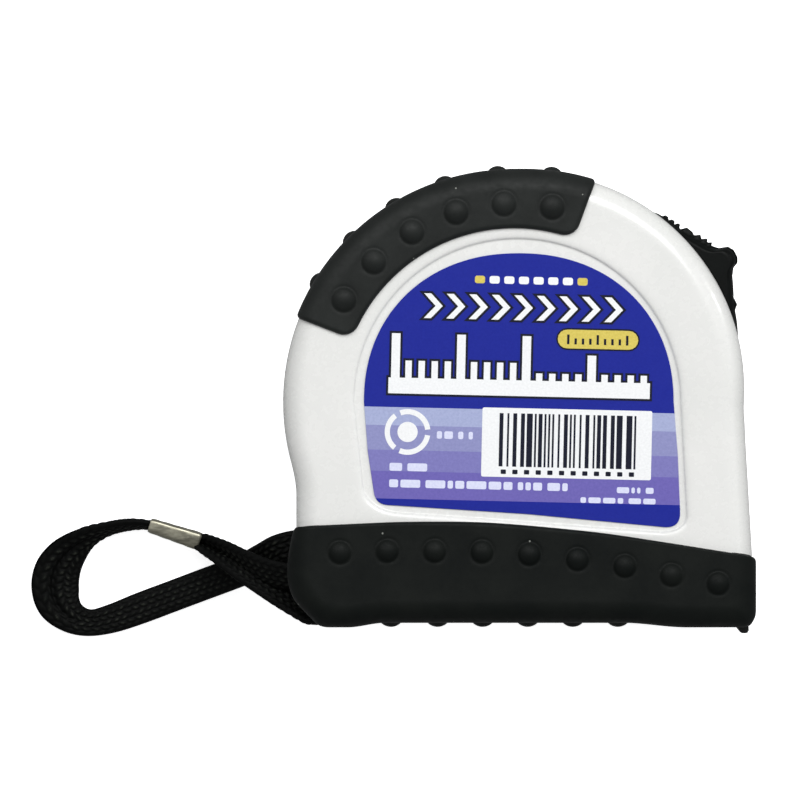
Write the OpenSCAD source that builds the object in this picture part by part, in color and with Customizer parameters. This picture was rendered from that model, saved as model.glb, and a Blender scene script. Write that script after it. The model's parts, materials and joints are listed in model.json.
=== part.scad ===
/* [Case] */
// Radius of the round part of the case outline
case_radius = 30.8; // [30:0.1:32]
// Radius of the second arc that fills out the front shoulder
shoulder_radius = 29.5; // [29:0.1:29.8]
// How far that arc's centre sits forward and up
shoulder_shift = 1.4; // [1.2:0.1:1.5]
// Thickness of the closed pair of shells, without the rubber
case_depth = 22; // [21.6:0.1:24]
// Wall of the shells
wall = 2; // [1.8:0.1:2.2]
// Rounding where the sides meet the faces
edge_round = 3; // [2.6:0.1:3.2]
/* [Rubber] */
// How far the rubber stands proud of the shells
rubber_proud = 0.7; // [0.5:0.1:0.9]
// How deep the rubber is let into the shells
rubber_seat = 0.4; // [0.3:0.1:0.5]
// Radius of the round bumps on the faces
dot_radius = 1.5; // [1.2:0.1:1.7]
// Height of those bumps
dot_height = 0.7; // [0.4:0.1:0.8]
/* [Blade] */
// Length of tape wound in the case
blade_length = 2000; // [2000:100:3000]
// Width of the tape
blade_width = 13; // [12:0.5:13]
// Thickness of the tape with its paint
blade_thick = 0.15; // [0.12:0.01:0.2]
// How much higher the edges of the tape are than its middle
blade_sag = 1.6; // [1.2:0.1:1.6]
/* [Reel] */
// Radius of the drum that the tape is wound on
drum_radius = 19.3; // [18.5:0.1:19.3]
// Radius of the wound tape
coil_radius = 21.9; // [21.7:0.1:21.9]
// Radius of the fixed post that the drum turns on
post_radius = 2.5; // [2:0.1:3]
// Turns of the power spring
spring_turns = 9; // [6:1:11]
/* [Lock] */
// How far the lock slides along the rim, in degrees
lock_travel = 8; // [6:0.5:8]
/* [Strap] */
// Width of the woven strap
strap_width = 4.2; // [3.6:0.1:4.4]
// Thickness of the woven strap
strap_thick = 1.2; // [1:0.1:1.2]

/* [Hidden] */
$fn = 64;

// The part lies on its rear face, with the blade leaving along +X. The outlines below are drawn
// about the centre of the round part, and origin_shift moves that point to its place.
origin_shift = [-0.7, -0.4, 0];
half = case_depth / 2;
mid = dot_height + rubber_proud + half;
far = 60;
tiny_gap = 0.02;

// Straight walls of the outline below the round part, as outward normal and distance from the
// centre: first the side walls, then the walls along the bottom
body_walls = [[[-1, 0, 29], [0.999, 0.043, 30.7]], [[0, -1, 28.6]]];
boot_walls = [[[-1, 0, 29.3], [1, 0, 31.5]], [[-0.707, -0.707, 38.5], [0, -1, 29.3], [0.85, -0.53, 41.7]]];
outline_steps = 80;
round_steps = 4;
fan_point = [4, 0, 0];

// Hub and blade: the blade's straight run is just under the lowest point of the wound tape
blade_y = -26.2;
hub = [0, blade_y + blade_thick / 2 + 0.3 + coil_radius];
blade_end = 29.3;
hook_face = 30.1;
hook_thick = 0.9;
hook_play = 0.9;
hook_tip = -30.8;
rivet_radius = 0.8;
rivet_places = [24.6, 27.4];

// Upper grip: a ring sector, and the bumps along it
grip_inner = 23.1;
grip_from = 69.8;
grip_to = 158.8;
grip_dots = [for (i = [0:5]) 79 + 14 * i];
grip_dot_ring = 26.5;
edge_dot_depth = 5.5;

// Boot: its upper edge, its face bumps and the bumps underneath
boot_edge = [[-far, -16.5], [-28, -16.5], [-15, -15.9], [-5, -15.9], [2, -16.5],
    [12, -17.6], [22, -19.2], [far, -22.7]];
boot_dots = [[-23.2, -20], [-16.9, -19.8], [-10.6, -19.8], [-4.3, -19.9], [2, -20.2],
    [8.4, -20.9], [14.7, -21.8], [20.9, -23], [27.1, -24.1]];
sole_bumps = [-16.4, -10.2, -4.2, 1.8, 7.8, 13.8];
sole_hollow = [[-18.5, -far], [-17.5, -29.4], [21.5, -29.4], [22.5, -far]];

// Panel recess in the faces, and the label in the front one
panel_radius = 21.7;
panel_depth = 0.5;
label_thick = 0.15;
panel_shift = 0.4;
panel_outline = [[-20, 1], [-21.3, 0], [-19.6, -12.7], [-18.8, -14], [-17.5, -14.6], [21, -17.3],
    [22.5, -16.9], [23, -15.5], [22.1, 0], [21, 1]];
label_radius = 20.2;
label_shift = 0.6;
label_outline = [[-18, 1], [-19.6, 0], [-19.2, -5], [-18.7, -10], [-18.3, -12.6], [-16.6, -14], [1.8, -14.9],
    [12, -15.9], [20, -16.8], [21.5, -16.4], [22, -15], [21.6, -6], [20.8, 0], [19, 1]];

// Screws and their bosses
screw_places = [[12.6, 23.6], [-25.4, -8.6], [-19.2, -23], [19.3, -21.4]];
boss_radius = 2.3;
pilot_radius = 0.9;
head_radius = 2;
head_floor = half - 1.7;

// Corner pocket for the strap, and its pin
pocket_half = 4;
pocket_right = -22.9;
pocket_top = -17.8;
pin_place = [-26.9, -25.6];
pin_radius = 1.3;

// Mouth for the blade and notch for the hook
mouth_half = blade_width / 2 + 0.4;
mouth_low = -27.7;
mouth_high = -24.1;
notch_x = 29.4;
notch_half = 7.3;

// Lock: channel in the rim, slider profile as [angle, radius], and the arm inside
channel_half = 4.9;
channel_floor = 29.9;
channel_from = 5.5;
channel_to = 56.5;
slit_half = 2.5;
slider_half = 4.6;
slider_inner = 30.2;
arm_half = 2.2;
arm_radius = 26.7;
arm_thick = 1.4;
slider_profile = [
    [17, 31], [20, 31.3], [22.6, 31.6], [24, 32.1], [25, 32], [25.8, 32.3], [30, 33.4], [31.5, 34.1],
    [31.9, 35], [33, 35.4], [34.7, 35.5], [36, 35.1], [37, 33.8], [38.4, 33.3], [38.9, 33.6], [39.5, 33.1],
    [40.3, 33.4], [41, 32.8], [41.9, 33], [42.8, 32.3], [45.3, 32.3], [46, 31.5], [46.5, 31.5],
    [46.9, 32], [47.5, 31.9], [47.9, 31.4], [48.4, 31.9], [49.2, 31.9], [49.6, 31.4], [50.2, 32],
    [51, 31.9], [51.4, 31.3], [52.6, 31.2]
];
pad_half = 4;
pad_x = 24;

// Strap route: [x, y, z, tilt of the broad face, width, thickness]. It starts in the pocket, runs out
// and round the loop, through the ferrule, back round the pin and into the ferrule again.
w = strap_width;
t = strap_thick;
strap_route = [
    [-24.4, -20.2, 10, 0, w, t], [-28, -20, 10, 0, w, t], [-31, -20.4, 9.4, 0, w, t],
    [-33.5, -21.3, 7, 0, w, t], [-36, -22.3, 4.2, 0, w, t], [-38.5, -23.3, 2.4, 0, w, t],
    [-42, -24.6, 1.1, 0, w, t], [-46, -26.1, 0.8, 0, w, t], [-50, -27.6, 0.8, 0, w, t],
    [-53.6, -28.9, 0.8, 0, 3.9, t], [-56.6, -29.5, 0.8, 0, 3.6, t], [-59, -28.8, 0.8, 0, 4.4, t],
    [-60.7, -27, 0.8, 0, 5.9, 1.1], [-61.3, -24.7, 0.9, 5, 6.4, 1.1], [-60.9, -22.4, 1.2, 10, 6.2, 1.1],
    [-59.5, -20.2, 1.7, 25, 5.4, 1.1], [-57.2, -18.2, 2.25, 50, 4.6, t], [-54.4, -17, 2.3, 70, w, t],
    [-51.5, -16.4, 2.3, 80, w, t], [-48.8, -16.3, 2.3, 90, 4, 0.9], [-45.4, -17.1, 2.3, 90, 4, 0.9],
    [-42.2, -18.2, 2.3, 90, 4, 0.9], [-40.2, -19, 3.6, 85, w, 1], [-38, -19.8, 6.1, 75, w, t],
    [-35.8, -20.7, 8.7, 65, w, t], [-33.4, -21.6, 11, 60, w, t], [-30.6, -22.3, 12.7, 60, w, t],
    [-28, -22.8, 13.2, 70, w, t], [-25.8, -23.8, 13.2, 85, w, t], [-24.7, -25.6, 12.9, 90, w, t],
    [-24.7, -27.5, 12.6, 90, w, t], [-25.8, -28.9, 12.4, 90, w, t], [-27.6, -29.3, 12.2, 85, w, t],
    [-29.6, -28.5, 11.9, 75, w, t], [-31.8, -26.9, 11.3, 65, w, t], [-34, -25.2, 10.2, 65, w, t],
    [-36.2, -23.5, 8.6, 70, w, t], [-38.2, -21.9, 6.6, 80, w, t], [-40.2, -20.4, 4.1, 88, w, 1],
    [-42.4, -19.2, 2.4, 90, 4, 0.9], [-45.6, -18.1, 2.3, 90, 4, 0.9], [-48, -17.4, 2.3, 90, 4, 0.9]
];
strap_steps = 2;
ferrule_mid = [-45.3, -17.55];
ferrule_turn = -18;
ferrule_size = [6.9, 3.1, 4.8];
ferrule_wall = 0.2;

// ---- Outline of the case, as the distance from its centre at each angle ----

function disc_reach(d, shift, r) =
    let (along = shift * (d[0] + d[1]), across = shift * (d[0] - d[1]))
    along + sqrt(r * r - across * across);

function wall_reach(d, walls, grow) =
    min([for (p = walls) let (k = p[0] * d[0] + p[1] * d[1]) k > 0.05 ? (p[2] + grow) / k : far]);

function case_reach(angle, walls, grow) =
    let (d = [cos(angle), sin(angle)],
        round_part = max(case_radius + grow, disc_reach(d, shoulder_shift, shoulder_radius + grow)))
    angle > 180
        ? min(max(round_part, wall_reach(d, walls[0], grow)), wall_reach(d, walls[1], grow))
        : round_part;

function outline_ring(walls, grow, z) = [for (i = [0:outline_steps - 1])
    let (angle = (i + 0.5) * 360 / outline_steps, r = case_reach(angle, walls, grow))
    [r * cos(angle), r * sin(angle), z]];

// Closed solid between a stack of rings with the same number of points. Wide ends are closed from
// a point near the Z axis, small ones as one face.
module stack_solid(rings, from_axis = false) {
    n = len(rings[0]);
    last = len(rings) - 1;
    low = len(rings) * n;
    fan_ends = [for (ring = [rings[0], rings[last]]) fan_point + [0, 0, ring[0][2]]];
    points = concat([for (ring = rings, p = ring) p], fan_ends);
    sides = [for (k = [0:last - 1], i = [0:n - 1], corner = [0, 1]) let (j = (i + 1) % n)
        corner == 0 ? [k * n + i, (k + 1) * n + i, (k + 1) * n + j] : [k * n + i, (k + 1) * n + j, k * n + j]];
    ends = from_axis
        ? [for (i = [0:n - 1], top = [0, 1]) let (j = (i + 1) % n)
            top == 1 ? [low + 1, last * n + j, last * n + i] : [low, i, j]]
        : [[for (i = [0:n - 1]) i], [for (i = [n - 1:-1:0]) last * n + i]];
    polyhedron(from_axis ? points : [for (i = [0:low - 1]) points[i]], concat(sides, ends), convexity = 6);
}

// Half of the case, from the parting plane up to height, with its top edge rounded
module half_case(walls, grow, height, rounding, floor_z = 0) {
    curve = [for (k = [0:round_steps]) k * 90 / round_steps];
    stack_solid(concat(
        [outline_ring(walls, grow, floor_z)],
        [for (a = curve)
            outline_ring(walls, grow - rounding * (1 - cos(a)), height - rounding * (1 - sin(a)))]), true);
}

module under_rubber() half_case(body_walls, -rubber_seat, half - rubber_seat, edge_round - rubber_seat);

module ring_sector(inner, outer, from, to, low, high)
    translate([0, 0, low]) rotate([0, 0, from]) rotate_extrude(angle = to - from)
        translate([inner, 0]) square([outer - inner, high - low]);

module grip_zone() ring_sector(grip_inner, far, grip_from, grip_to, -1, far);

module boot_zone()
    translate([0, 0, -1]) linear_extrude(far) polygon(concat(boot_edge, [[far, -far], [-far, -far]]));

module cap_dot(place, base_z) {
    ball = (dot_radius * dot_radius + dot_height * dot_height) / (2 * dot_height);
    translate([place[0], place[1], base_z + dot_height - ball]) sphere(ball, $fn = 20);
}

module block(low, high) translate(low) cube(high - low);

// ---- Shells ----

module pocket_cut()
    block([-far, -far, -1], [pocket_right, pocket_top, pocket_half]);

module nose_cut() {
    block([27, mouth_low, -1], [far, mouth_high, mouth_half]);
    block([21.5, mouth_low, -1], [28, -26.5, mouth_half]);
    block([notch_x, -far, -1], [far, mouth_high + 0.3, notch_half]);
}

module lock_cut() {
    ring_sector(channel_floor, far, channel_from, channel_to, -1, channel_half);
    ring_sector(25, channel_floor + 1, 10.5, 41.5, -1, slit_half);
}

module inside_case() half_case(body_walls, -wall, half - wall, 1, -1);

// What fills the inside: strap corner, nose, channel floor and screw bosses
module fillings() {
    intersection() {
        half_case(body_walls, -wall / 2, half - wall / 2, 1);
        union() {
            block([-far, -far, -1], [-20.5, -16.3, far]);
            block([27.8, -far, -1], [far, -23.3, far]);
        }
    }
    ring_sector(27.9, 30, 2, 60, 0, 6.5);
    for (p = screw_places) translate([p[0], p[1], 0]) cylinder(r = boss_radius, h = half - wall / 2);
}

// Round above the middle of the case, with straight sides and a straight lower edge below it
module panel_shape(radius, shift, outline) {
    intersection() {
        translate([shift, 0]) circle(radius);
        translate([-far, 0]) square([2 * far, far]);
    }
    polygon(outline);
}

module panel_cut() translate([0, 0, half - panel_depth]) linear_extrude(far)
    panel_shape(panel_radius, panel_shift, panel_outline);

module shell_half() difference() {
    union() {
        difference() {
            half_case(body_walls, 0, half, edge_round);
            inside_case();
        }
        fillings();
    }
    difference() {
        union() {
            grip_zone();
            boot_zone();
        }
        under_rubber();
    }
    panel_cut();
    pocket_cut();
    nose_cut();
    lock_cut();
    translate([hub[0], hub[1], 0]) cylinder(r = post_radius, h = half - 1.4);
    translate([pin_place[0], pin_place[1], 0]) cylinder(r = pin_radius, h = 6.5);
}

module place_front() translate(origin_shift + [0, 0, mid]) children();
module place_rear() translate(origin_shift + [0, 0, mid]) mirror([0, 0, 1]) children();

module front_shell() color("whitesmoke") place_front() difference() {
    shell_half();
    for (p = screw_places) translate([p[0], p[1], -1]) cylinder(r = pilot_radius, h = 8);
}

module rear_shell() color("whitesmoke") place_rear() difference() {
    shell_half();
    for (p = screw_places) translate([p[0], p[1], 0]) {
        translate([0, 0, -1]) cylinder(r = pilot_radius + 0.25, h = far);
        translate([0, 0, head_floor]) cylinder(r = head_radius + 0.1, h = far);
    }
}

// ---- Rubber ----

module grip_half() difference() {
    union() {
        intersection() {
            half_case(body_walls, rubber_proud, half + rubber_proud, edge_round);
            grip_zone();
        }
        for (a = grip_dots) {
            cap_dot(grip_dot_ring * [cos(a), sin(a)], half + rubber_proud);
            rotate([0, 0, a]) translate([0, 0, edge_dot_depth]) rotate([0, 90, 0])
                cap_dot([0, 0], case_reach(a, body_walls, rubber_proud) - dot_height / 4);
        }
    }
    under_rubber();
    lock_cut();
}

module boot_half(dots) difference() {
    union() {
        intersection() {
            half_case(boot_walls, rubber_proud, half + rubber_proud, edge_round);
            boot_zone();
        }
        for (p = dots) cap_dot(p, half + rubber_proud);
    }
    under_rubber();
    pocket_cut();
    nose_cut();
    translate([0, 0, -1]) linear_extrude(far) polygon(sole_hollow);
}

module sole_half(dots) difference() {
    union() {
        boot_half(dots);
        for (x = sole_bumps) translate([x, 0, edge_dot_depth]) rotate([90, 0, 0])
            cap_dot([0, 0], 29.4 - 0.1);
    }
    under_rubber();
}

module grip_front() color("#1c1d1f") place_front() grip_half();
module grip_rear() color("#1c1d1f") place_rear() grip_half();
module boot_front() color("#1c1d1f") place_front() sole_half(boot_dots);

// The rear boot has no bump where a screw hole comes near
function clear_of_screws(p) = min([for (q = screw_places) norm(p - q)]) > head_radius + dot_radius + 0.8;

module boot_rear() color("#1c1d1f") place_rear() difference() {
    sole_half([for (p = boot_dots) if (clear_of_screws(p)) p]);
    for (p = [screw_places[2], screw_places[3]])
        translate([p[0], p[1], head_floor]) cylinder(r = head_radius + 0.4, h = far);
}

module face_label() color("#2d37a0") place_front()
    translate([0, 0, half - panel_depth]) linear_extrude(label_thick)
        panel_shape(label_radius, label_shift, label_outline);

// ---- Fixed pieces inside and fasteners ----

module case_screw() difference() {
    union() {
        translate([0, 0, head_floor]) cylinder(r = head_radius, h = 1.1);
        translate([0, 0, -7]) cylinder(r = pilot_radius, h = head_floor + 7);
    }
    for (turn = [0, 90]) rotate([0, 0, turn])
        translate([-1.2, -0.25, head_floor + 0.4]) cube([2.4, 0.5, 1]);
}

module case_screws() color("silver") place_rear()
    for (p = screw_places) translate([p[0], p[1], 0]) case_screw();

module center_post() color("gainsboro") place_front() translate([hub[0], hub[1], 0]) difference() {
    translate([0, 0, 1.4 - half]) cylinder(r = post_radius, h = 2 * (half - 1.4));
    translate([-0.4, -far / 2, -5]) cube([0.8, far / 2, 10]);
}

module post_washers() color("silver")
    for (side = [0, 1]) place_front() mirror([0, 0, side]) translate([hub[0], hub[1], half - wall - 0.5])
        difference() {
            cylinder(r = post_radius + 2.5, h = 0.5);
            translate([0, 0, -1]) cylinder(r = post_radius, h = 3);
        }

module strap_pin() color("silver") place_front() translate([pin_place[0], pin_place[1], -6.5])
    cylinder(r = pin_radius, h = 13);

module hook_bumper() color("#2a2a2c") place_front() difference() {
    block([notch_x, -28, -notch_half + 0.2], [hook_face - 0.1, mouth_high + 0.2, notch_half - 0.2]);
    block([notch_x - 1, mouth_low, -mouth_half], [hook_face + 1, mouth_high - 0.3, mouth_half]);
}

// ---- Lock ----

module slider_outline() polygon(concat(
    [for (p = slider_profile) p[1] * [cos(p[0]), sin(p[0])]],
    [for (a = [52.6:-5.93:16.9]) slider_inner * [cos(a), sin(a)]]));

// Foot of the arm, drawn where it is when the tape is locked
module lock_foot() {
    pad_top = blade_y + 2;
    block([pad_x - 1.6, pad_top, -arm_half], [pad_x + 1.6, pad_top + 1.6, arm_half]);
    arm_end = arm_radius * [cos(-34), sin(-34)];
    reach = [pad_x, pad_top + 1] - arm_end;
    translate([arm_end[0], arm_end[1], 0]) rotate([0, 0, atan2(reach[1], reach[0])])
        block([0, -arm_thick / 2, -arm_half], [norm(reach), arm_thick / 2, arm_half]);
}

module lock_slider() color("#202124") place_front() {
    translate([0, 0, -slider_half]) linear_extrude(2 * slider_half) slider_outline();
    ring_sector(arm_radius - arm_thick / 2, slider_inner + 0.5, 20, 40, -arm_half, arm_half);
    ring_sector(arm_radius - arm_thick / 2, arm_radius + arm_thick / 2, -26.5, 40, -arm_half, arm_half);
    rotate([0, 0, lock_travel]) lock_foot();
}

module brake_pad() color("#3a3a3c") place_front() rotate([0, 0, lock_travel])
    block([pad_x - 1.6, blade_y + 0.95, -pad_half], [pad_x + 1.6, blade_y + 2, pad_half]);

// ---- Reel ----

module place_reel(z) place_front() translate([hub[0], hub[1], z]) children();

module tube(outer, inner, height) difference() {
    cylinder(r = outer, h = height, $fn = 96);
    translate([0, 0, -1]) cylinder(r = inner, h = height + 2, $fn = 96);
}

drum_half = blade_width / 2 + 0.3;
flange_radius = coil_radius + 0.3;
flange_thick = 1.1;
drum_wall = 1.4;
bore_radius = post_radius + 0.06;

module spring_drum() color("darkslategray") {
    place_reel(-drum_half) tube(drum_radius, drum_radius - drum_wall, 2 * drum_half);
    place_reel(-drum_half - flange_thick) tube(flange_radius, bore_radius, flange_thick);
}

module drum_cover() color("slategray") {
    place_reel(drum_half) tube(flange_radius, bore_radius, flange_thick);
    place_reel(drum_half - 1) tube(drum_radius - drum_wall - 0.1, drum_radius - drum_wall - 1, 1);
}

spring_inner = post_radius + 0.7;
spring_outer = drum_radius - drum_wall - 1.2;
spring_thick = 0.3;
spring_points = 14;

function spring_point(i, offset) =
    let (turn = i / spring_points,
        r = spring_inner + (spring_outer - spring_inner) * turn / spring_turns + offset)
    r * [cos(360 * turn), sin(360 * turn)];

module power_spring() color("steelblue") place_reel(-5.5) linear_extrude(11) polygon(concat(
    [for (i = [0:spring_points * spring_turns]) spring_point(i, 0)],
    [for (i = [spring_points * spring_turns:-1:0]) spring_point(i, spring_thick)]));

module blade_coil() color("gold") place_reel(-blade_width / 2)
    tube(coil_radius, drum_radius, blade_width);

// ---- Blade and hook ----

// Height of the tape across its width, from flat at the reel to its full curve
function blade_lift(x, z) = blade_sag * pow(min(1, (x + 1) / 11) * z / (blade_width / 2), 2);

function blade_ring(x) = concat(
    [for (k = [-5:5]) let (z = k * blade_width / 10) [x, blade_y - blade_thick / 2 + blade_lift(x, z), z]],
    [for (k = [5:-1:-5]) let (z = k * blade_width / 10) [x, blade_y + blade_thick / 2 + blade_lift(x, z), z]]);

module rivet_shaft(x, r, low, high)
    translate([x, high, 0]) rotate([90, 0, 0]) cylinder(r = r, h = high - low);

module blade() color("gold") place_front() difference() {
    stack_solid([for (x = [0, 2.5, 5, 7.5, 10, blade_end]) blade_ring(x)]);
    for (x = rivet_places) rivet_shaft(x, rivet_radius, blade_y - 2, blade_y + 2);
}

plate_top = blade_y - blade_thick / 2 - tiny_gap;
plate_thick = 0.6;

module end_hook() color("#2b2b2d") place_front() difference() {
    union() {
        block([22.6, plate_top - plate_thick, -3.2], [hook_face + 0.1, plate_top, 3.2]);
        block([hook_face, -30.2, -6.5], [hook_face + hook_thick, plate_top + 1.6, 6.5]);
        translate([0, 0, -6.5]) linear_extrude(13) polygon([[hook_face, -30.1],
            [hook_face + 0.3, hook_tip], [hook_face + 0.6, hook_tip], [hook_face + hook_thick, -30.1]]);
    }
    for (x = rivet_places) {
        rivet_shaft(x, rivet_radius + 0.05, blade_y - 3, blade_y + 2);
        rivet_shaft(x - hook_play, rivet_radius + 0.05, blade_y - 3, blade_y + 2);
        block([x - hook_play, blade_y - 3, -rivet_radius - 0.05], [x, blade_y + 2, rivet_radius + 0.05]);
    }
    rotate([0, 90, 0]) translate([0, -28.4, hook_face - 1]) cylinder(r = 0.8, h = 3);
}

module hook_rivets() color("silver") place_front() for (x = rivet_places) {
    rivet_shaft(x, rivet_radius, plate_top - plate_thick - 0.3, blade_y + 0.3);
    rivet_shaft(x, 1.4, blade_y + 0.2, blade_y + 0.6);
    rivet_shaft(x, 1.4, plate_top - plate_thick - 0.35, plate_top - plate_thick - tiny_gap);
}

// ---- Strap ----

function mix_four(a, b, c, d, u) = 0.5 * (2 * b + (c - a) * u
    + (2 * a - 5 * b + 4 * c - d) * u * u + (3 * b - a - 3 * c + d) * u * u * u);

strap_last = len(strap_route) - 1;
strap_path = concat([for (i = [0:strap_last - 1], k = [0:strap_steps - 1])
    mix_four(strap_route[max(i - 1, 0)], strap_route[i], strap_route[i + 1],
        strap_route[min(i + 2, strap_last)], k / strap_steps)], [strap_route[strap_last]]);

function spot(row) = [row[0], row[1], row[2]];

// Eight corners of the flat section at one place on the strap
function strap_ring(i) =
    let (here = strap_path[i], n = len(strap_path) - 1,
        way = spot(strap_path[min(i + 1, n)]) - spot(strap_path[max(i - 1, 0)]),
        ahead = way / norm(way),
        level = cross([0, 0, 1], ahead) / norm(cross([0, 0, 1], ahead)),
        rise = cross(ahead, level),
        broad = level * cos(here[3]) + rise * sin(here[3]),
        thin = cross(ahead, broad),
        a = here[4] / 2, b = here[5] / 2)
    [for (c = [[a, b / 2], [a * 0.8, b], [-a * 0.8, b], [-a, b / 2], [-a, -b / 2], [-a * 0.8, -b],
        [a * 0.8, -b], [a, -b / 2]]) spot(here) + broad * c[0] + thin * c[1]];

module wrist_strap() color("#151516") translate(origin_shift)
    stack_solid([for (i = [0:len(strap_path) - 1]) strap_ring(i)]);

module strap_ferrule() color("#9a958c") translate(origin_shift)
    translate([ferrule_mid[0], ferrule_mid[1], ferrule_size[2] / 2 + tiny_gap]) rotate([0, 0, ferrule_turn])
        difference() {
            cube(ferrule_size, center = true);
            cube(ferrule_size + [1, -2 * ferrule_wall, -2 * ferrule_wall], center = true);
        }

front_shell();
rear_shell();
grip_front();
grip_rear();
boot_front();
boot_rear();
face_label();
case_screws();
center_post();
post_washers();
strap_pin();
hook_bumper();
lock_slider();
brake_pad();
spring_drum();
drum_cover();
power_spring();
blade_coil();
blade();
end_hook();
hook_rivets();
wrist_strap();
strap_ferrule();
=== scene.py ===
"""Looks of the pocket tape measure. Lengths are in millimetres about the middle of the round case, as in the
part's source, and make_mesh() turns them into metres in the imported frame."""

import json
import math

import bmesh
import bpy
import numpy as np
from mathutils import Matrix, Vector


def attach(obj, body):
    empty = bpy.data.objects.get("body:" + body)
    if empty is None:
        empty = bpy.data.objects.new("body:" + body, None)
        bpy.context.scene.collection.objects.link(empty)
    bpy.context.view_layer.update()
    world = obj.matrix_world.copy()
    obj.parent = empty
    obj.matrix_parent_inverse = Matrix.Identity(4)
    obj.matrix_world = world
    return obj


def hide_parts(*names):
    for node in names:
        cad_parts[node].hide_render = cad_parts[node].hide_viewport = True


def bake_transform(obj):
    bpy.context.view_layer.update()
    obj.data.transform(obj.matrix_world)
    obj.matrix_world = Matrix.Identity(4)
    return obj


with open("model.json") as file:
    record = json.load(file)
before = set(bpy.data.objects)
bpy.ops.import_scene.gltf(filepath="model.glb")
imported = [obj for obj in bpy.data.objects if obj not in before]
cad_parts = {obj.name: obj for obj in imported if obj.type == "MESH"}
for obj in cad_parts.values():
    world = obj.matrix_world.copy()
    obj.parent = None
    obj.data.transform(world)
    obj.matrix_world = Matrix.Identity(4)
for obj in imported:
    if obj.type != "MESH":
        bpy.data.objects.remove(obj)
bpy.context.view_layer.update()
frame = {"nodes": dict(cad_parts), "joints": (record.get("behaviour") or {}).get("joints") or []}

MM = 0.001
lock_joint = next(joint for joint in frame["joints"] if joint["name"] == "lock_slide")
CENTRE = np.array(lock_joint["pos_m"])               # middle of the round case, on the parting plane
ON_FLOOR = np.array([CENTRE[0], CENTRE[1], 0.0])     # the same place, on the surface that the tape lies on

HALF = 11.0              # from the parting plane to the shell's face
EDGE_ROUND = 3.0
PROUD = 0.7              # rubber above the shell
SEAT = 0.4               # rubber let into the shell
WALL = 2.0
PANEL_DEPTH = 0.5
FAR = 200.0


# ---- Camera ----

def make_camera():
    data = bpy.data.cameras.new("camera")
    data.lens = 1500
    data.sensor_width = 36
    data.clip_start, data.clip_end = 0.05, 20
    camera = bpy.data.objects.new("camera", data)
    camera.location = (-0.0159, -0.00013, CENTRE[2] + 4.445)
    bpy.context.scene.collection.objects.link(camera)
    bpy.context.scene.camera = camera


make_camera()


# ---- Mesh helpers ----

def smooth_min(a, b, k):
    h = np.clip(0.5 + 0.5 * (b - a) / k, 0, 1)
    return b * (1 - h) + a * h - k * h * (1 - h)


def smooth_max(a, b, k):
    return -smooth_min(-a, -b, k)


def smooth_step(x, low=0.0, high=1.0):
    t = np.clip((x - low) / (high - low), 0, 1)
    return t * t * (3 - 2 * t)


def unit(vectors):
    return vectors / np.linalg.norm(vectors, axis=-1, keepdims=True)


def grid_faces(rows, cols, first=0, round_cols=False):
    r, c = np.meshgrid(np.arange(rows - 1), np.arange(cols if round_cols else cols - 1), indexing="ij")
    right = (c + 1) % cols
    quads = np.stack([r * cols + c, (r + 1) * cols + c, (r + 1) * cols + right, r * cols + right], -1)
    return (quads.reshape(-1, 4) + first).tolist()


def fan_faces(ring, centre):
    return [(ring[i], ring[(i + 1) % len(ring)], centre) for i in range(len(ring))]


def band_faces(ring, step):
    """Faces between a closed ring of points and the same ring, step points later."""
    return [(a, b, b + step, a + step) for a, b in zip(ring, ring[1:] + ring[:1])]


def stack_of_rings(rings):
    """Points and faces of a closed solid through a stack of rings, its ends closed by fans."""
    rows, cols = rings.shape[:2]
    points = np.concatenate([rings.reshape(-1, 3), [rings[0].mean(0)], [rings[-1].mean(0)]])
    faces = grid_faces(rows, cols, round_cols=True)
    faces += fan_faces(list(range(cols)), rows * cols)
    faces += fan_faces(list(range((rows - 1) * cols, rows * cols)), rows * cols + 1)
    return points, faces


def thick_sheet(outer, inner):
    """Points and faces of the closed solid between two grids of the same shape."""
    rows, cols = outer.shape[:2]
    count = rows * cols
    points = np.concatenate([outer.reshape(-1, 3), inner.reshape(-1, 3)])
    index = np.arange(count).reshape(rows, cols)
    rim = np.concatenate([index[0], index[1:, -1], index[-1, -2::-1], index[-2:0:-1, 0]]).tolist()
    return points, grid_faces(rows, cols) + grid_faces(rows, cols, first=count) + band_faces(rim, count)


def prism(outline, low, high):
    """Points and faces of a flat outline of (x, y) drawn up from low to high."""
    n = len(outline)
    points = [(x, y, z) for z in (low, high) for x, y in outline]
    ends = [tuple(range(n - 1, -1, -1)), tuple(range(n, 2 * n))]
    return np.array(points), band_faces(list(range(n)), n) + ends


def joined(solids):
    points, faces = [], []
    for p, f in solids:
        first = sum(len(q) for q in points)
        points.append(np.asarray(p, float))
        faces += [tuple(i + first for i in face) for face in f]
    return np.concatenate(points), faces


def arc(centre, radius, start, stop, steps):
    return [(centre[0] + radius * math.cos(math.radians(a)), centre[1] + radius * math.sin(math.radians(a)))
            for a in np.linspace(start, stop, steps)]


def rounded_box(low, high, radius, steps=5):
    """Outline of a rectangle with round corners."""
    (x0, y0), (x1, y1) = low, high
    r = min(radius, (x1 - x0) / 2.001, (y1 - y0) / 2.001)
    return (arc((x1 - r, y1 - r), r, 0, 90, steps) + arc((x0 + r, y1 - r), r, 90, 180, steps)
            + arc((x0 + r, y0 + r), r, 180, 270, steps) + arc((x1 - r, y0 + r), r, 270, 360, steps))


def ring_sector(inner, outer, start, stop, low, high):
    """Part of a flat ring, with its two faces in quads."""
    steps = int(stop - start) + 1
    outline = arc((0, 0), outer, start, stop, steps) + arc((0, 0), inner, stop, start, steps)
    points, faces = prism(outline, low, high)
    faces = faces[:-2]
    for i in range(steps - 1):
        quad = (i, i + 1, 2 * steps - 2 - i, 2 * steps - 1 - i)
        faces += [quad[::-1], tuple(q + 2 * steps for q in quad)]
    return points, faces


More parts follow.
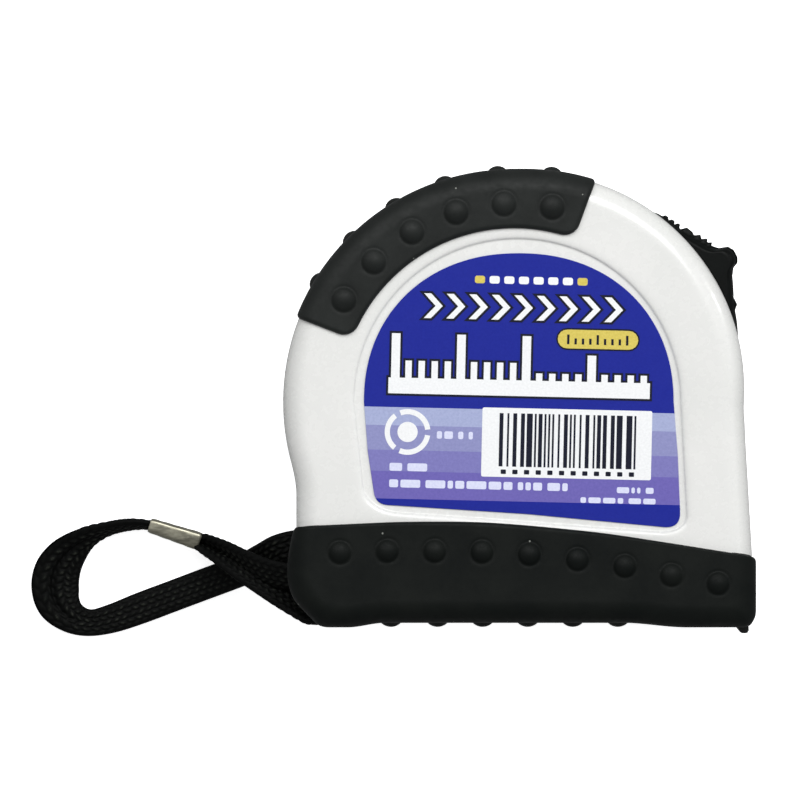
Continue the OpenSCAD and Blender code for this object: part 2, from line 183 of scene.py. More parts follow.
def box_solid(low, high, radius):
    """Block between two corners, its edges along z rounded."""
    return prism(rounded_box(low[:2], high[:2], radius, 6), low[2], high[2])


def box_along_x(low, high, radius):
    """Block between two corners, its edges along x rounded."""
    points, faces = prism(rounded_box(low[1:], high[1:], radius, 6), low[0], high[0])
    return points[:, [2, 0, 1]], faces


def round_hole(place, radius, low, high, steps=48):
    return prism(arc(place, radius, 0, 360 - 360 / steps, steps), low, high)


def rotated(points, degrees, to=(0, 0, 0)):
    """Points turned about the z axis, then moved."""
    c, s = math.cos(math.radians(degrees)), math.sin(math.radians(degrees))
    return np.asarray(points, float) @ [[c, s, 0], [-s, c, 0], [0, 0, 1]] + to


def polar_grid(theta, profile):
    """Grid of points at the angles theta, one row for each (distance from the centre, height)."""
    return np.stack([np.stack([rho * np.cos(theta), rho * np.sin(theta), z + 0 * theta], -1)
                     for rho, z in profile])


def make_mesh(name, points, faces, at=CENTRE):
    mesh = bpy.data.meshes.new(name)
    mesh.from_pydata((np.asarray(points, float) * MM + at).tolist(), [], [tuple(f) for f in faces])
    work = bmesh.new()
    work.from_mesh(mesh)
    bmesh.ops.recalc_face_normals(work, faces=work.faces)
    work.to_mesh(mesh)
    work.free()
    thing = bpy.data.objects.new(name, mesh)
    bpy.context.scene.collection.objects.link(thing)
    return thing


def apply_modifiers(thing):
    bpy.context.view_layer.update()
    shaped = thing.evaluated_get(bpy.context.evaluated_depsgraph_get())
    mesh = bpy.data.meshes.new_from_object(shaped)
    thing.modifiers.clear()
    thing.data = mesh


def combine(thing, solids, operation="DIFFERENCE"):
    """Cuts closed solids, as (points, faces), out of a piece, or joins them to it."""
    others = [make_mesh("other", points, faces) for points, faces in solids]
    for other in others:
        step = thing.modifiers.new("combine", "BOOLEAN")
        step.operation, step.object, step.solver = operation, other, "MANIFOLD"
    apply_modifiers(thing)
    for other in others:
        bpy.data.objects.remove(other)


def soften(thing, width, segments=2, degrees=40):
    """Bevels the edges that are sharper than an angle."""
    edge = thing.modifiers.new("edge", "BEVEL")
    edge.width, edge.segments, edge.limit_method = width * MM, segments, "ANGLE"
    edge.angle_limit = math.radians(degrees)


def add_uv(thing, name, uv):
    """UV map from one (u, v) for each point of the mesh."""
    loops = np.zeros(len(thing.data.loops), np.int32)
    thing.data.loops.foreach_get("vertex_index", loops)
    layer = thing.data.uv_layers.new(name=name)
    layer.data.foreach_set("uv", uv[loops].astype(np.float32).ravel())


def finish_piece(thing, body, material, stands_for=(), sharp=35):
    thing.data.materials.clear()
    thing.data.materials.append(material)
    thing.data.shade_smooth()
    thing.data.set_sharp_from_angle(angle=math.radians(sharp))
    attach(thing, body)
    if stands_for:
        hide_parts(*stands_for)
    return thing


def make_piece(name, solid, body, material, stands_for=(), sharp=35, at=CENTRE, bevel=0.0):
    thing = make_mesh(name, *solid, at=at)
    if bevel:
        soften(thing, bevel, 3)
        apply_modifiers(thing)
    return finish_piece(thing, body, material, stands_for, sharp)


# ---- Material helpers ----

class Paint:
    """A Principled material whose nodes are added by short calls. Places are in millimetres."""

    def __init__(self, name, **inputs):
        self.material = bpy.data.materials.new(name)
        self.material.use_nodes = True
        self.tree = self.material.node_tree
        self.shader = self.tree.nodes["Principled BSDF"]
        for key, value in inputs.items():
            self.shader.inputs[key.replace("_", " ")].default_value = value
        where = self.tree.nodes.new("ShaderNodeTexCoord")
        scale = self.add("ShaderNodeVectorMath", {0: where.outputs["Object"], 1: (1000, 1000, 1000)},
                         operation="MULTIPLY")
        self.place = scale.outputs[0]
        self.uv = where.outputs["UV"]

    def add(self, kind, inputs=(), **settings):
        node = self.tree.nodes.new(kind)
        for key, value in settings.items():
            setattr(node, key, value)
        for key, value in dict(inputs).items():
            if isinstance(value, bpy.types.NodeSocket):
                self.tree.links.new(value, node.inputs[key])
            else:
                node.inputs[key].default_value = value
        return node

    def link(self, value, socket):
        self.tree.links.new(value, self.shader.inputs[socket])

    def math(self, operation, a, b=0.0):
        return self.add("ShaderNodeMath", {0: a, 1: b}, operation=operation).outputs[0]

    def noise(self, size, detail=3.0, rough=0.55, place=None):
        return self.add("ShaderNodeTexNoise", {"Vector": place or self.place, "Scale": 1 / size,
                                               "Detail": detail, "Roughness": rough}).outputs["Fac"]

    def stretched(self, factors):
        return self.add("ShaderNodeVectorMath", {0: self.place, 1: factors}, operation="MULTIPLY").outputs[0]

    def turned(self, degrees):
        return self.add("ShaderNodeVectorRotate", {"Vector": self.place, "Angle": math.radians(degrees)},
                        rotation_type="Z_AXIS").outputs[0]

    def span(self, value, low, high, to_low=0.0, to_high=1.0):
        return self.add("ShaderNodeMapRange", {"Value": value, "From Min": low, "From Max": high,
                                               "To Min": to_low, "To Max": to_high}).outputs[0]

    def ramp(self, value, stops, mode="LINEAR"):
        node = self.add("ShaderNodeValToRGB", {"Fac": value})
        node.color_ramp.interpolation = mode
        marks = node.color_ramp.elements
        while len(marks) < len(stops):
            marks.new(0.5)
        for mark, (at, colour) in zip(marks, stops):
            mark.position = at
            mark.color = (*colour, 1)
        return node.outputs["Color"]

    def mix(self, share, a, b, blend="MIX"):
        node = self.add("ShaderNodeMix", {0: share, 6: a, 7: b}, data_type="RGBA", blend_type=blend)
        return node.outputs[2]

    def bumps(self, *layers):
        """layers are (height, strength, distance in mm), laid over each other."""
        last = None
        for height, strength, distance in layers:
            inputs = {"Height": height, "Strength": strength, "Distance": distance * MM}
            if last is not None:
                inputs["Normal"] = last
            last = self.add("ShaderNodeBump", inputs).outputs["Normal"]
        self.link(last, "Normal")

    def colour(self, value):
        self.link(value, "Base Color")

    def rough(self, pattern, low, high):
        self.link(self.span(pattern, 0.3, 0.7, low, high), "Roughness")


def specks(paint, size, share):
    """1 on sparse small dots such as dust, 0 elsewhere."""
    cells = paint.add("ShaderNodeTexVoronoi", {"Vector": paint.place, "Scale": 1 / size})
    near = paint.math("LESS_THAN", cells.outputs["Distance"], 0.09)
    random = paint.add("ShaderNodeSeparateColor", {"Color": cells.outputs["Color"]}).outputs[0]
    return paint.math("MULTIPLY", near, paint.math("GREATER_THAN", random, 1 - share))


def white_plastic():
    p = Paint("white_plastic", IOR=1.5, Coat_Weight=0.35, Coat_Roughness=0.06)
    p.colour(p.ramp(p.noise(14, 2), [(0.3, (0.715, 0.72, 0.7)), (0.7, (0.76, 0.76, 0.742))]))
    p.rough(p.noise(1.2), 0.22, 0.32)
    p.bumps((p.noise(7, 1), 0.15, 0.05))
    return p.material


def soft_rubber(name, dark, light, shine):
    p = Paint(name, IOR=1.5, Specular_IOR_Level=shine)
    blend = p.ramp(p.noise(6, 3), [(0.35, dark), (0.7, light)])
    dust = specks(p, 1.4, 0.05)
    p.colour(p.mix(dust, blend, (0.19, 0.2, 0.18, 1)))
    p.rough(p.noise(0.7), 0.5, 0.66)
    p.bumps((p.noise(1.6, 2), 0.3, 0.05), (p.noise(0.12, 2), 0.35, 0.02))
    return p.material


def dark_plastic(name="dark_plastic", tint=(0.0015, 0.002, 0.0018), rough=(0.36, 0.5)):
    p = Paint(name, IOR=1.48, Specular_IOR_Level=0.12)
    p.colour(p.ramp(p.noise(3, 4), [(0.35, tint), (0.75, tuple(2.1 * t for t in tint))]))
    p.rough(p.noise(0.4), *rough)
    p.bumps((p.noise(0.25, 3), 0.25, 0.03), (p.noise(2.2, 2), 0.15, 0.04))
    return p.material


def steel(name, dark, light, rough=(0.22, 0.38), grain=(0.25, 4, 4)):
    p = Paint(name, Metallic=1.0)
    streaks = p.noise(0.35, 4, 0.6, p.stretched(grain))
    p.colour(p.ramp(streaks, [(0.3, dark), (0.7, light)]))
    p.rough(streaks, *rough)
    p.bumps((streaks, 0.2, 0.01))
    return p.material


def woven_nylon():
    """Black braid, painted lighter on the tops of its stitches as painted glints and darker in the gaps and
    along the strap's fold as painted shade. U of its UV map is the height of the weave, 0 in the gaps and
    along the fold and 1 on top of a stitch.
    """
    p = Paint("woven_nylon", IOR=1.5, Specular_IOR_Level=0.1)
    stitch = p.add("ShaderNodeSeparateXYZ", {"Vector": p.uv}).outputs["X"]
    fibres = p.noise(0.14, 3, 0.7)
    patches = p.noise(1.7, 3)
    # painted glints on the stitch tops, painted shade in the gaps and along the fold
    lit = p.math("MULTIPLY", p.math("MULTIPLY", fibres, patches), p.math("MULTIPLY", stitch, stitch))
    p.colour(p.ramp(lit, [(0.03, (0.0007, 0.0009, 0.0008)), (0.16, (0.003, 0.0036, 0.003)),
                          (0.3, (0.024, 0.026, 0.021))]))
    p.rough(fibres, 0.5, 0.75)
    p.bumps((fibres, 0.6, 0.05))
    return p.material


PRINT_TILT = 1.3         # degrees that the print is turned clockwise on the case
PRINT_BLUE = (0.0125, 0.021, 0.27)


def printed_label():
    """Deep blue above, bands that go from pale to purple below, and a blue strip along the lower edge."""
    p = Paint("printed_label", IOR=1.5, Specular_IOR_Level=0.14)
    height = p.add("ShaderNodeSeparateXYZ", {"Vector": p.turned(PRINT_TILT)}).outputs["Y"]
    low, high = -18.0, 2.0
    middle = CENTRE[1] / MM
    bands = [(-18, PRINT_BLUE), (-13.25, (0.15, 0.125, 0.42)), (-9.6, (0.2, 0.19, 0.46)),
             (-6.8, (0.26, 0.27, 0.5)), (-3.5, (0.36, 0.4, 0.61)), (-1.1, PRINT_BLUE)]
    stops = [((y - low) / (high - low), colour) for y, colour in bands]
    flat = p.ramp(p.span(height, low + middle, high + middle), stops, "CONSTANT")
    fine = p.noise(0.35, 2, 0.7)
    tone = p.ramp(fine, [(0.3, (0.9, 0.9, 0.93)), (0.7, (1.06, 1.06, 1.04))])
    p.colour(p.mix(1, flat, tone, "MULTIPLY"))
    p.rough(p.noise(1.5), 0.36, 0.46)
    p.bumps((p.noise(5, 2), 0.2, 0.05), (fine, 0.1, 0.01))
    return p.material


def ink(name, dark, light):
    p = Paint(name, IOR=1.5, Specular_IOR_Level=0.14)
    p.colour(p.ramp(p.noise(0.3, 3, 0.6), [(0.3, dark), (0.7, light)]))
    p.rough(p.noise(1.5), 0.36, 0.46)
    p.bumps((p.noise(0.2, 2), 0.1, 0.005))
    return p.material


def tape_paint():
    """Yellow enamel with black marks each millimetre, longer at 5 and 10. U of the UV map is millimetres
    along the tape from its hook, V is millimetres from its middle line."""
    p = Paint("tape_paint", IOR=1.5, Coat_Weight=0.3, Coat_Roughness=0.15)
    split = p.add("ShaderNodeSeparateXYZ", {"Vector": p.uv})
    along, across = split.outputs["X"], split.outputs["Y"]
    from_middle = p.math("ABSOLUTE", across)
    marks = None
    for step, width, reach in ((1, 0.16, 4.6), (5, 0.18, 3.4), (10, 0.24, 0.6)):
        turn = p.math("FRACT", p.math("DIVIDE", along, step))
        thin = p.math("LESS_THAN", turn, width / step)
        mark = p.math("MULTIPLY", thin, p.math("GREATER_THAN", from_middle, reach))
        marks = mark if marks is None else p.math("MAXIMUM", marks, mark)
    yellow = p.ramp(p.noise(4, 3), [(0.3, (0.8, 0.53, 0.012)), (0.7, (0.87, 0.6, 0.02))])
    p.colour(p.mix(marks, yellow, (0.01, 0.01, 0.012, 1)))
    p.rough(p.noise(1.5), 0.28, 0.4)
    p.bumps((p.noise(0.6, 2), 0.15, 0.01))
    return p.material


WHITE = white_plastic()
# One rubber in two painted copies: the grip's is painted lighter, a painted sheen from the light above, and
# the boot's is painted darker, a painted shade
RUBBER = soft_rubber("soft_rubber_grip_painted_sheen", (0.007, 0.0085, 0.0078), (0.0125, 0.0145, 0.0135), 0.22)
BOOT_RUBBER_PAINTED_SHADE = soft_rubber("soft_rubber_boot_painted_shade", (0.0022, 0.0034, 0.003), (0.0052, 0.0066, 0.0056), 0.14)
LOCK = dark_plastic()
INNER = dark_plastic("inner_plastic", (0.05, 0.053, 0.056), (0.4, 0.55))
BUMPER = dark_plastic("bumper_rubber", (0.016, 0.016, 0.017), (0.6, 0.75))
# the hook is dark all over
HOOK = dark_plastic("dark_hook", (0.012, 0.0125, 0.012), (0.3, 0.45))
PLATED = steel("plated_steel", (0.5, 0.5, 0.49), (0.72, 0.71, 0.69))
SPRING = steel("spring_steel", (0.1, 0.13, 0.2), (0.3, 0.34, 0.42))
NICKEL = steel("satin_nickel", (0.26, 0.25, 0.195), (0.42, 0.405, 0.32), (0.3, 0.42), (0.35, 1.2, 1))
NYLON = woven_nylon()
TAPE = tape_paint()
LABEL = printed_label()
INK_WHITE = ink("ink_white", (0.78, 0.79, 0.8), (0.86, 0.87, 0.88))
INK_BLACK = ink("ink_black", (0.006, 0.007, 0.018), (0.013, 0.014, 0.028))
INK_YELLOW = ink("ink_yellow", (0.58, 0.47, 0.09), (0.68, 0.56, 0.13))
INK_PALE = ink("ink_pale", (0.6, 0.62, 0.82), (0.7, 0.72, 0.88))


# ---- Wrist strap ----

# The route's places and widths repeat the part's own. The tilt in degrees, the thickness and the shift to its
# left say how the woven strap lies: (x, y, z, tilt, width, thickness, shift)
W, T = 4.2, 1.2
STRAP_ROUTE = [
    (-24.4, -20.2, 10, 0, W, T, -0.7), (-28, -20, 10, 0, W, T, -0.9), (-31, -20.4, 9.4, 0, W, T, -0.75),
    (-33.5, -21.3, 7, 0, W, T, -0.35), (-36, -22.3, 4.2, 0, W, T, 0), (-38.5, -23.3, 2.4, 0, W, T, 0),
    (-42, -24.6, 1.1, 0, W, T, 0), (-46, -26.1, 0.8, 0, W, T, 0), (-50, -27.6, 0.8, 0, W, T, 0),
    (-53.6, -28.9, 0.8, 0, 3.9, T, 0), (-56.6, -29.5, 0.8, 0, 3.6, T, 0), (-59, -28.8, 0.8, 0, 4.4, T, 0),
    (-60.7, -27, 0.8, 0, 5.9, 1.1, 0), (-61.3, -24.7, 0.9, 5, 6.4, 1.1, 0),
    (-60.9, -22.4, 1.2, 10, 6.2, 1.1, 0), (-59.5, -20.2, 1.7, 25, 5.4, 1.1, 0),
    (-57.2, -18.2, 2.25, 50, 4.6, T, 0), (-54.4, -17, 2.3, 70, W, T, 0), (-51.5, -16.4, 2.3, 78, W, T, 0),
    (-48.8, -16.3, 2.3, 83, 4, 1.05, -0.12), (-45.4, -17.1, 2.3, 88, 4, 0.72, 0),
    (-42.2, -18.2, 2.3, 84, 4, 0.98, 0), (-40.2, -19, 3.6, 64, W, 1.15, -0.1),
    (-38, -19.8, 6.1, 52, W, T, -0.35), (-35.8, -20.7, 8.7, 42, W, T, -0.65),
    (-33.4, -21.6, 11, 36, W, T, -0.85), (-30.6, -22.3, 12.7, 34, W, T, -0.9),
    (-28, -22.8, 13.2, 40, W, T, -0.6), (-25.8, -23.8, 13.2, 85, W, T, 0),
    (-24.7, -25.6, 12.9, 90, W, T, 0), (-24.7, -27.5, 12.6, 90, W, T, 0), (-25.8, -28.9, 12.4, 90, W, T, 0),
    (-27.6, -29.3, 12.2, 80, W, T, -0.5), (-29.6, -28.5, 11.9, 58, W, T, -1.2),
    (-31.8, -26.9, 11.3, 40, W, T, -1.3), (-34, -25.2, 10.2, 34, W, T, -1.2),
    (-36.2, -23.5, 8.6, 36, W, T, -1), (-38.2, -21.9, 6.6, 48, W, T, -0.7),
    (-40.2, -20.4, 4.1, 66, W, 1.1, -0.3), (-42.4, -19.2, 2.4, 86, 4, 0.98, -0.1),
    (-45.6, -18.1, 2.3, 90, 4, 0.66, -0.15), (-48, -17.4, 2.3, 90, 4, 0.5, -0.45),
]
# The rows where its fold along the middle starts, is full, starts to fade and ends
LOBE_ROWS = (10, 12, 15, 17)


def sampled_route(steps):
    """The route as a smooth curve through its rows, with the row number of each sample."""
    rows = np.array(STRAP_ROUTE, float)
    last = len(rows) - 1
    at = np.append(np.arange(last * steps) / steps, last)
    i = np.minimum(at.astype(int), last - 1)
    u = (at - i)[:, None]
    a, b, c, d = rows[np.maximum(i - 1, 0)], rows[i], rows[i + 1], rows[np.minimum(i + 2, last)]
    curve = 2 * b + (c - a) * u + (2 * a - 5 * b + 4 * c - d) * u ** 2 + (3 * b - a - 3 * c + d) * u ** 3
    return curve / 2, at


def strap_section():
    """(place across, place through), each -1 to 1, round the strap's flat section with rounded edges."""
    across = np.linspace(-0.96, 0.96, 44)
    through = (1 - np.abs(across) ** 5) ** 0.45
    top = np.stack([across, through], 1)
    edge = np.array([[0.993, 0.17], [1.0, 0.0], [0.993, -0.17]])
    return np.concatenate([top, edge, np.stack([across[::-1], -through], 1), -edge])


def braid(along, across, lanes=6, pitch=1.15):
    """Height, 0 to 1, of a flat braid: lanes of slanted stitches that point opposite ways side by side."""
    lane = np.clip((across + 1) / 2, 0, 0.9999) * lanes
    k = np.floor(lane)
    f = lane - k
    way = np.where(k % 2 == 0, 1.0, -1.0)
    phase = along / pitch + 0.5 * (k % 2) + 0.45 * way * (f - 0.5)
    return np.abs(np.sin(np.pi * phase)) ** 0.8 * np.sin(np.pi * f) ** 0.6


def make_strap():
    rows, at = sampled_route(26)
    spots = rows[:, :3]
    ahead = unit(np.gradient(spots, axis=0))
    level = unit(np.cross([0, 0, 1], ahead))
    rise = np.cross(ahead, level)
    tilt = np.radians(rows[:, 3:4])
    broad = level * np.cos(tilt) + rise * np.sin(tilt)
    thin = np.cross(ahead, broad)
    along = np.concatenate([[0], np.cumsum(np.linalg.norm(np.diff(spots, axis=0), axis=1))])
    section = strap_section()
    across, through = section[:, 0][None], section[:, 1][None]
    half_width, half_thick = rows[:, 4:5] / 2, rows[:, 5:6] / 2
    weave = braid(along[:, None], across) * np.abs(through) ** 2
    fold = (smooth_step(at, *LOBE_ROWS[:2]) * (1 - smooth_step(at, *LOBE_ROWS[2:])))[:, None]
    crease = fold * np.exp(-((across - 0.12) / 0.1) ** 2) * (through > 0)
    slope = fold * 0.28 * np.clip(across - 0.12, 0, 1) * (through > 0)
    u = across * half_width
    deep = 0.22 * np.minimum(1, half_thick / 0.6)
    v = through * half_thick - deep * (0.6 - weave) * np.sign(through) - 0.42 * crease - slope
    aside = rows[:, 6:7] * level
    rings = (spots + aside)[:, None] + u[..., None] * broad[:, None] + v[..., None] * thin[:, None]
    rings[..., 2] = np.maximum(rings[..., 2], 0.03)
    strap = make_piece("wrist_strap_woven", stack_of_rings(rings), "case", NYLON,
                       ["wrist_strap"], sharp=80, at=ON_FLOOR)
    # This map paints light: the braid's colour is lighter on the stitch tops, a painted glint, and darker in
    # the gaps and along the fold, a painted shade
    painted_glint_map = np.append((weave * (1 - crease)).ravel(), [0.5, 0.5])      # the last two are the ends' middles
    add_uv(strap, "weave", np.stack([painted_glint_map, 0 * painted_glint_map], 1))
    return strap, spots * MM + ON_FLOOR, along[-1] * MM


def make_ferrule():
    """Crimped sheet metal sleeve round the strap's two runs, with the seam of its wrap across the top."""
    length, wall, half_height = 7.1, 0.12, 2.3
    between = np.linspace(-0.44, 0.44, 45)
    stations = np.concatenate([[-0.5, -0.49, -0.47], between, [0.47, 0.49, 0.5]])[:, None]
    turns = np.linspace(0, 2 * math.pi, 96, endpoint=False)[None]
    side, up = (np.sign(f) * np.abs(f) ** 0.36 for f in (np.cos(turns), np.sin(turns)))
    lip = 0.1 * np.clip((np.abs(stations) - 0.44) / 0.06, 0, 1) ** 2
    x = stations * length + 0 * side
    y = side * (0.96 + 0.25 * (stations + 0.5) - lip)
    z = up * (half_height - lip)
    past_seam = 0.27 * np.clip(x + 0.8, 0, 9) - 1.15 - y
    on_top = smooth_step(z, 1.6, 2.1)
    z = z - on_top * 0.16 * smooth_step(past_seam, -0.02, 0.12) * smooth_step(x, -1.2, 0.4)
    z = z - on_top * 0.12 * np.clip(past_seam, 0, 2)
    y = y + 0.05 * np.sin(1.7 * x + 0.6) * np.sin(2.3 * z + x) * np.sign(side) * (np.abs(up) < 0.9)
    z = z + 0.04 * np.sin(2.2 * x + 1.0) * (up > 0.8)
    outer = np.stack([x, y, z], -1)
    inner = np.stack([x, y - side * wall, z - up * wall], -1)
    rows, cols = x.shape
    count = rows * cols
    points = np.concatenate([outer.reshape(-1, 3), inner.reshape(-1, 3)])
    faces = grid_faces(rows, cols, round_cols=True) + grid_faces(rows, cols, first=count, round_cols=True)
    for first in (0, count - cols):
        faces += band_faces(list(range(first, first + cols)), count)
    points = rotated(points, -18, (-45.3, -17.55, half_height + 0.1))
    return make_piece("ferrule_crimped", (points, faces), "case", NICKEL,
                      ["strap_ferrule"], sharp=50, at=ON_FLOOR)


strap, strap_line, strap_length = make_strap()
ferrule = make_ferrule()


# ---- Outlines of the case, as the distance from its centre at each angle ----

# Straight walls, as (normal x, normal y, distance from the centre)
BODY_LEFT, BODY_RIGHT = (-1, 0, 29), (0.999, 0.058, 30.45)
BODY_BASE, BODY_HEEL = (0, -1, 28.6), (-0.72, -0.694, 38)
BOOT_LEFT, BOOT_RIGHT, BOOT_TAPER = (-1, 0, 29.55), (1, 0, 31.5), (-0.958, 0.287, 22.6)
BOOT_HEEL, BOOT_TOE = (-0.72, -0.694, 38.75), (0.87, -0.493, 41.35)
PANEL_LEFT, PANEL_RIGHT = (-0.9943, -0.1071, 21.18), (0.9986, 0.0538, 22.07)
PANEL_BASE = (-0.0731, -0.9973, 15.8)


def wall_reach(c, s, wall, grow=0.0):
    k = wall[0] * c + wall[1] * s
    return np.where(k > 0.03, (wall[2] + grow) / np.maximum(k, 0.03), FAR)


def body_reach(theta, grow):
    c, s = np.cos(theta), np.sin(theta)
    shift, shoulder = 1.9, 28.72
    offset = shift * (c + s) + np.sqrt((shoulder + grow) ** 2 - (shift * (c - s)) ** 2)
    disc = smooth_max(offset, 30.62 - 0.15 * c + grow, 0.3)
    sides = np.minimum(wall_reach(c, s, BODY_LEFT, grow), wall_reach(c, s, BODY_RIGHT, grow))
    blend = 0.02 + 0.78 * smooth_step(-s, 0, 0.15)
    lower = smooth_min(smooth_max(disc, sides, blend), wall_reach(c, s, BODY_BASE, grow), 2.0)
    lower = smooth_min(lower, wall_reach(c, s, BODY_HEEL, grow), 1.5)
    return np.where(s < 0, lower, disc)


def grip_reach(theta, grow):
    return body_reach(theta, grow - 0.3)


def sole_depth(x):
    """How far below the centre the sole is. It is hollow, with a pad under the heel and the toe."""
    return 28.7 + 0.6 * (smooth_step(-17.2 - x, 0, 5) + smooth_step(x, 14.5, 23))


def boot_reach(theta, grow):
    c, s = np.cos(theta), np.sin(theta)
    r = np.minimum(wall_reach(c, s, BOOT_LEFT, grow), wall_reach(c, s, BOOT_RIGHT, grow))
    r = smooth_min(r, wall_reach(c, s, BOOT_TAPER, grow), 1.5)
    down = np.minimum(s, -0.2)
    sole = np.full_like(r, 30.0)
    for _ in range(12):
        sole = (sole_depth(sole * c) + grow) / -down
    sole = np.where(s < -0.2, sole, FAR)
    r = smooth_min(r, wall_reach(c, s, BOOT_HEEL, grow), 2.2)
    r = smooth_min(r, wall_reach(c, s, BOOT_TOE, grow), 0.4)
    return smooth_min(r, sole, 0.9)


BOOT_EDGE_X = np.array([-60, -28, -15, -5, 2, 12, 22, 32, 60])
BOOT_EDGE_Y = np.array([-16.5, -16.5, -15.9, -15.9, -16.4, -17.4, -18.95, -20.55, -25])


def boot_edge(x):
    return sum(np.interp(x + d, BOOT_EDGE_X, BOOT_EDGE_Y) for d in (-3, -1.5, 0, 1.5, 3)) / 5


def boot_top(theta):
    """Distance from the centre to the boot's upper edge."""
    c, s = np.cos(theta), np.minimum(np.sin(theta), -0.2)
    r = np.full_like(theta, 20.0)
    for _ in range(30):
        r = boot_edge(r * c) / s
    return r


GRIP_FROM, GRIP_TO, GRIP_INNER, GRIP_CORNER = math.radians(69.8), math.radians(158.8), 23.1, 2.0


def grip_top(theta):
    """Distance from the centre to the grip's inner edge, round at its two corners."""
    from_end = GRIP_INNER * np.minimum(theta - GRIP_FROM, GRIP_TO - theta)
    inside = np.clip(GRIP_CORNER - from_end, 0, GRIP_CORNER)
    return GRIP_INNER + GRIP_CORNER - np.sqrt(GRIP_CORNER ** 2 - inside ** 2)


def panel_reach(theta):
    """Distance from the centre to the edge of the recess in the face."""
    c, s = np.cos(theta), np.sin(theta)
    shift, radius = 0.4, 21.7
    disc = shift * c + np.sqrt(radius ** 2 - (shift * s) ** 2)
    sides = np.minimum(wall_reach(c, s, PANEL_LEFT), wall_reach(c, s, PANEL_RIGHT))
    lower = smooth_min(np.minimum(sides, 40), wall_reach(c, s, PANEL_BASE), 5.5)
    return np.where(s < 0, lower, disc)


# ---- White shells ----

# The rounded step down from the face into the panel, as (distance outside its edge, depth)
PANEL_STEP = [(0.95, 0.01), (0.7, 0.03), (0.48, 0.065), (0.3, 0.115), (0.19, 0.17), (0.11, 0.235),
              (0.06, 0.3), (0.02, 0.37), (-0.03, 0.435), (-0.1, 0.475), (-0.2, 0.495), (-0.4, 0.5)]


def rubber_cover(theta, rho):
    """1 where rubber covers the shell, well inside its edges, and 0 elsewhere."""
    inset = 0.7
    on_grip = np.minimum((theta - GRIP_FROM) * rho, (GRIP_TO - theta) * rho)
    on_grip = np.minimum(on_grip, rho - GRIP_INNER)
    on_boot = np.where(np.sin(theta) < 0, boot_edge(rho * np.cos(theta)) - rho * np.sin(theta), -1)
    return smooth_step(np.maximum(on_grip, on_boot), inset, inset + 0.4)


def shell_outside(theta):
    """Profile of half a shell's outside, from the parting plane to near the middle of the face."""
    def rim_row(inset, z):
        drop = SEAT * rubber_cover(theta, body_reach(theta, -inset))
        aside = drop if inset < EDGE_ROUND else 0
        down = drop if z > HALF - EDGE_ROUND else 0
        return body_reach(theta, -inset - aside), z - down

    profile = [rim_row(inset, z) for inset, z in ((0.18, 0.0), (0.04, 0.1), (0.0, 0.25))]
    profile += [rim_row(0, z) for z in np.linspace(1.0, HALF - EDGE_ROUND, 9)]
    for a in np.radians(np.linspace(6, 90, 15)):
        profile.append(rim_row(EDGE_ROUND * (1 - math.cos(a)), HALF - EDGE_ROUND * (1 - math.sin(a))))
    panel = panel_reach(theta)
    start = panel + 1.3
    rim = np.maximum(body_reach(theta, -EDGE_ROUND), start + 0.1)
    for f in np.linspace(0.1, 1, 12):
        rho = rim + (start - rim) * f
        profile.append((rho, HALF - SEAT * rubber_cover(theta, rho)))
    for away, down in PANEL_STEP:
        rho = panel + away
        profile.append((rho, HALF - down - SEAT * rubber_cover(theta, rho) * (1 - down / PANEL_DEPTH)))
    return profile + [((panel - 0.4) * f, HALF - PANEL_DEPTH) for f in (0.95, 0.85, 0.7, 0.5, 0.3, 0.12)]


def shell_inside(theta):
    """Profile of its inside, from near the middle of the face back to the parting plane."""
    profile = [(body_reach(theta, -WALL - 1) * f, HALF - WALL) for f in (0.12, 0.4, 0.7, 1.0)]
    profile.append((body_reach(theta, -WALL - 0.3), HALF - WALL - 0.3))
    return profile + [(body_reach(theta, -WALL), z) for z in (HALF - WALL - 1, 4.0, 0.3, 0.0)]


def shell_solid(side):
    cols = 900
    theta = np.linspace(0, 2 * math.pi, cols, endpoint=False)
    outer, inner = polar_grid(theta, shell_outside(theta)), polar_grid(theta, shell_inside(theta))
    n_out, n_in = len(outer) * cols, len(inner) * cols
    points = np.concatenate([outer.reshape(-1, 3), inner.reshape(-1, 3),
                             [[0, 0, HALF - PANEL_DEPTH], [0, 0, HALF - WALL]]])
    faces = grid_faces(len(outer), cols, round_cols=True)
    faces += grid_faces(len(inner), cols, first=n_out, round_cols=True)
    faces += fan_faces(list(range(n_out - cols, n_out)), n_out + n_in)
    faces += fan_faces(list(range(n_out, n_out + cols)), n_out + n_in + 1)
    faces += band_faces(list(range(cols)), n_out + n_in - cols)
    return points * [1, 1, side], faces


SCREWS = [(12.6, 23.6), (-25.4, -8.6), (-19.2, -23.0), (19.3, -21.4)]
HEAD_RADIUS, HEAD_FLOOR = 2.1, HALF - 1.7

MOUTH = box_along_x((21.5, -27.7, -6.9), (45, -24.1, 6.9), 0.6)
HOOK_NOTCH = box_along_x((29.4, -50, -7.3), (50, -23.8, 7.3), 0.6)
STRAP_POCKET = box_along_x((-60, -60, -4), (-22.9, -17.8, 4), 1.0)
LOCK_CHANNEL = ring_sector(29.9, 45, 5.5, 56.5, -4.9, 4.9)
LOCK_SLOT = ring_sector(25, 31, 10.5, 41.5, -2.5, 2.5)


def screw_holes(side, places, play=0.0):
    """Holes for the heads of the screws, which only the rear half has."""
    return [round_hole(p, HEAD_RADIUS + play, -20, -HEAD_FLOOR) for p in places] if side < 0 else []


def make_shell(name, side, node):
    shell = make_mesh(name, *shell_solid(side))
    combine(shell, [LOCK_CHANNEL, LOCK_SLOT, MOUTH, HOOK_NOTCH, STRAP_POCKET] + screw_holes(side, SCREWS))
    return finish_piece(shell, "case", WHITE, [node], sharp=38)


make_shell("shell_front_moulded", 1, "front_shell")
make_shell("shell_rear_moulded", -1, "rear_shell")


